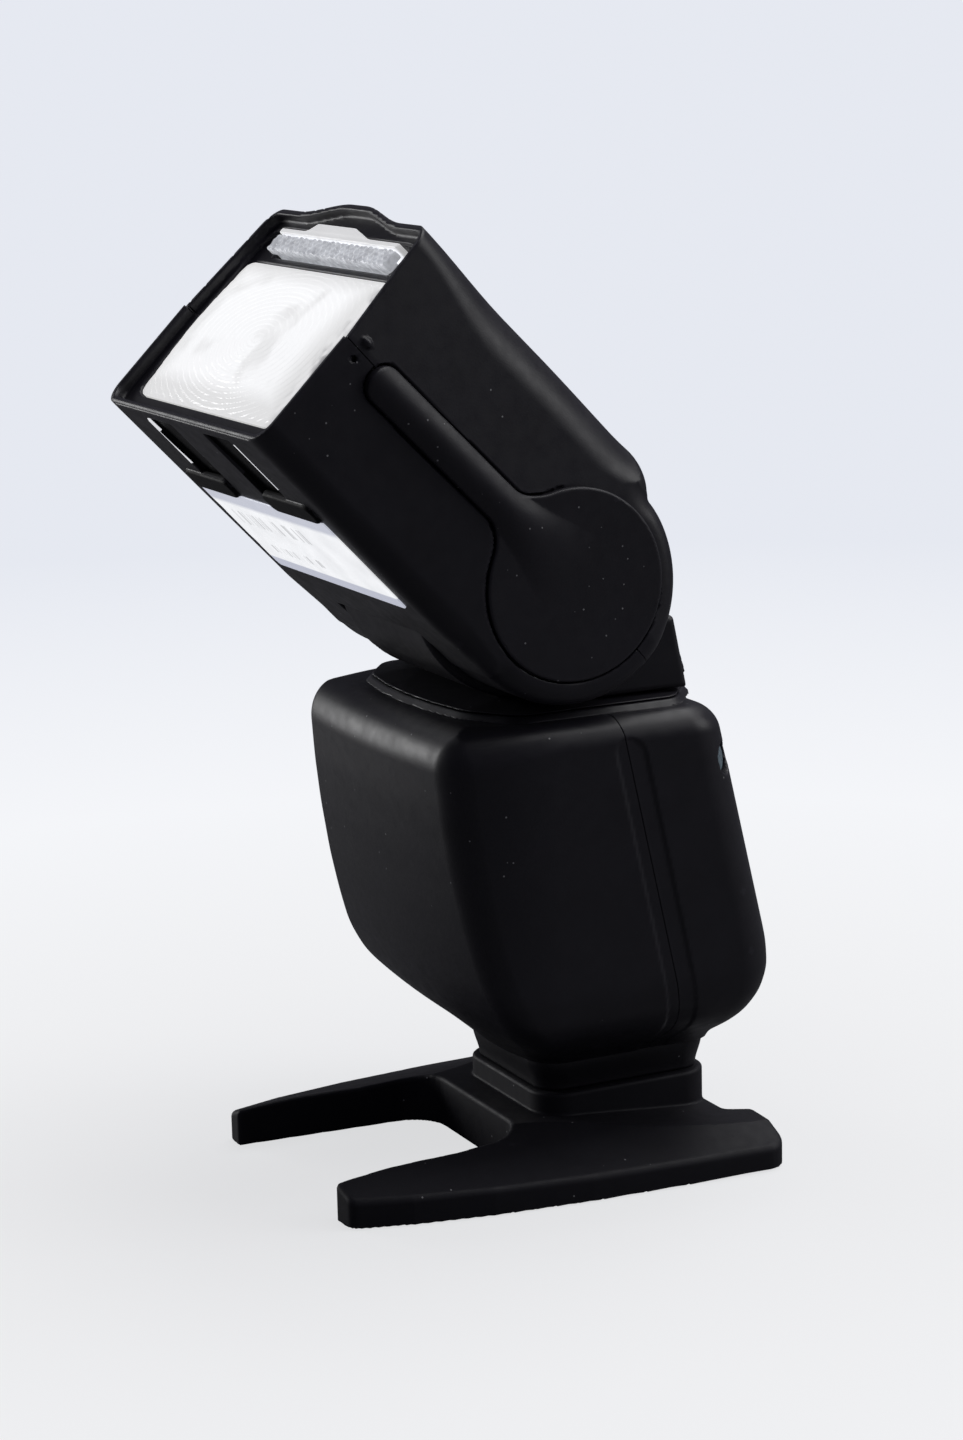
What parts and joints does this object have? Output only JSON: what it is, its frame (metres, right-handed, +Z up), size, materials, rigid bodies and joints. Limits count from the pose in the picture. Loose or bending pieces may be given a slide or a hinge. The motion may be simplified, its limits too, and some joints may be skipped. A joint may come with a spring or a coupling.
{
  "type": "speedlight flash",
  "caption": "Shoe-mount camera flash with a tilting, swivelling zoom head on a raked battery body, standing on its slide-on mini stand.",
  "frame": {"origin": "underside of the mini stand, on the tripod insert's face and the plane of symmetry, straight below the head's tilt axis", "axes": "+Z up; the flash faces -Y; +X is the side seen in the picture, the flash's left"},
  "size_m": [0.0804, 0.1074, 0.1859],
  "materials": {
    "shell_black": "fine satin grain, near black",
    "turret_black": "satin, near black",
    "cover_black": "satin, near black",
    "foot_black": "satin, near black",
    "stand_black": "matte moulded, near black",
    "button_grey": "matte dark grey",
    "button_blue": "blue-grey, half gloss",
    "lens_clear": "clear ribbed plastic optic",
    "panel_clear": "translucent ribbed plastic",
    "panel_white": "white",
    "label_silver": "silver film",
    "steel": "plain steel",
    "bright_metal": "bright",
    "brass": "plain brass",
    "board_green": "circuit board",
    "lcd_grey": "display module",
    "window_clear": "smoked clear window",
    "cell_wrap": "printed wrap in one plain colour",
    "capacitor_wrap": "dark sleeve",
    "tube_glass": "clear glass",
    "inner_plastic": "black moulding"
  },
  "bodies": {
    "stand": {"mini_stand": "stand_black", "tripod_insert": "brass"},
    "flash_body": {"front_shell": "shell_black", "rear_shell": "shell_black", "swivel_seat": "turret_black", "swivel_bush": "brass", "battery_box": "inner_plastic", "aa_cell_1": "cell_wrap", "aa_cell_2": "cell_wrap", "aa_cell_3": "cell_wrap", "aa_cell_4": "cell_wrap", "battery_contact_board": "brass", "main_capacitor": "capacitor_wrap", "main_board": "board_green", "lcd_module": "lcd_grey", "lcd_window": "window_clear", "foot_housing": "foot_black", "shoe_plate": "bright_metal", "shoe_contact_block": "inner_plastic"},
    "door": {"battery_door": "shell_black", "door_contact_plate": "brass", "door_hinge_pin": "steel"},
    "latch": {"door_latch": "button_grey"},
    "turret": {"turret_base": "turret_black", "swivel_stem": "steel", "swivel_clip": "steel", "neck_core": "turret_black", "tilt_detent_disc": "steel"},
    "head": {"head_upper_shell": "shell_black", "head_lower_shell": "shell_black", "side_cover_near": "cover_black", "side_cover_far": "cover_black", "fresnel_lens": "lens_clear", "underside_label": "label_silver", "zoom_chassis": "inner_plastic", "guide_rod_low": "steel", "guide_rod_high": "steel", "zoom_motor": "bright_metal"},
    "wide_diffuser": {"wide_panel": "panel_clear"},
    "catchlight": {"catchlight_panel": "panel_white"},
    "zoom_unit": {"zoom_carriage": "inner_plastic", "reflector": "bright_metal", "flash_tube": "tube_glass"},
    "screw": {"lead_screw": "steel"},
    "dial": {"select_dial": "button_grey"},
    "set_key": {"set_button": "button_grey"},
    "switch": {"power_switch": "button_grey"},
    "function_key_1": {"function_button_1": "button_grey"},
    "function_key_2": {"function_button_2": "button_grey"},
    "function_key_3": {"function_button_3": "button_grey"},
    "function_key_4": {"function_button_4": "button_grey"},
    "mode_key": {"mode_button": "button_grey"},
    "zoom_key": {"zoom_button": "button_grey"},
    "test_key": {"test_button": "button_grey"},
    "wireless_key": {"wireless_button": "button_blue"},
    "lever": {"lock_lever": "button_grey"},
    "pin": {"lock_pin": "steel"}
  },
  "joints": [
    {"name": "shoe_slide", "type": "slide", "parent": "stand", "child": "flash_body", "axis": [0, 1, 0], "range_m": [0, 0.032]},
    {"name": "head_swivel", "type": "hinge", "parent": "flash_body", "child": "turret", "pos_m": [0, 0.008, 0.0936], "axis": [0, 0, 1], "range_deg": [-180, 150]},
    {"name": "head_tilt", "type": "hinge", "parent": "turret", "child": "head", "pos_m": [0, 0, 0.1178], "axis": [-1, 0, 0], "range_deg": [-45, 45]},
    {"name": "wide_panel_slide", "type": "slide", "parent": "head", "child": "wide_diffuser", "axis": [0, -0.7071, 0.7071], "range_m": [0, 0.026]},
    {"name": "catchlight_slide", "type": "slide", "parent": "head", "child": "catchlight", "axis": [0, -0.7071, 0.7071], "range_m": [0, 0.026]},
    {"name": "zoom_slide", "type": "slide", "parent": "head", "child": "zoom_unit", "axis": [0, -0.7071, 0.7071], "range_m": [-0.006, 0.008]},
    {"name": "lead_screw_spin", "type": "hinge", "parent": "head", "child": "screw", "pos_m": [0.0266, -0.03719, 0.13717], "axis": [0, -0.7071, 0.7071], "range_deg": [-725, 965]},
    {"name": "battery_door_hinge", "type": "hinge", "parent": "flash_body", "child": "door", "pos_m": [-0.0361, -0.00923, 0.05902], "axis": [0, -0.2233, 0.9748], "range_deg": [0, 100]},
    {"name": "door_latch_slide", "type": "slide", "parent": "door", "child": "latch", "axis": [0, 0.2233, -0.9748], "range_m": [0, 0.003]},
    {"name": "select_dial_turn", "type": "hinge", "parent": "flash_body", "child": "dial", "pos_m": [0, 0.04178, 0.05118], "axis": [0, 0.9748, 0.2233], "continuous": true},
    {"name": "set_button_press", "type": "slide", "parent": "flash_body", "child": "set_key", "axis": [0, -0.9748, -0.2233], "range_m": [0, 0.0006]},
    {"name": "power_switch_turn", "type": "hinge", "parent": "flash_body", "child": "switch", "pos_m": [-0.0205, 0.04276, 0.04689], "axis": [0, 0.9748, 0.2233], "range_deg": [-35, 35]},
    {"name": "function_button_1_press", "type": "slide", "parent": "flash_body", "child": "function_key_1", "axis": [0, -0.9748, -0.2233], "range_m": [0, 0.0006]},
    {"name": "function_button_2_press", "type": "slide", "parent": "flash_body", "child": "function_key_2", "axis": [0, -0.9748, -0.2233], "range_m": [0, 0.0006]},
    {"name": "function_button_3_press", "type": "slide", "parent": "flash_body", "child": "function_key_3", "axis": [0, -0.9748, -0.2233], "range_m": [0, 0.0006]},
    {"name": "function_button_4_press", "type": "slide", "parent": "flash_body", "child": "function_key_4", "axis": [0, -0.9748, -0.2233], "range_m": [0, 0.0006]},
    {"name": "mode_button_press", "type": "slide", "parent": "flash_body", "child": "mode_key", "axis": [0, -0.9748, -0.2233], "range_m": [0, 0.0006]},
    {"name": "zoom_button_press", "type": "slide", "parent": "flash_body", "child": "zoom_key", "axis": [0, -0.9748, -0.2233], "range_m": [0, 0.0006]},
    {"name": "test_button_press", "type": "slide", "parent": "flash_body", "child": "test_key", "axis": [0, -0.9748, -0.2233], "range_m": [0, 0.0006]},
    {"name": "wireless_button_press", "type": "slide", "parent": "flash_body", "child": "wireless_key", "axis": [-0.7217, -0.6816, -0.1203], "range_m": [0, 0.0006]},
    {"name": "lock_lever_turn", "type": "hinge", "parent": "flash_body", "child": "lever", "pos_m": [0, 0.03, 0.0184], "axis": [0, 0, 1], "range_deg": [0, 35]},
    {"name": "lock_pin_slide", "type": "slide", "parent": "flash_body", "child": "pin", "axis": [0, 0, -1], "range_m": [0, 0.002]}
  ],
  "couplings": [
    {"joint": "lead_screw_spin", "follows": "zoom_slide", "rad_per_m": 2094.4},
    {"joint": "lock_lever_turn", "follows": "lock_pin_slide", "rad_per_m": 305}
  ]
}
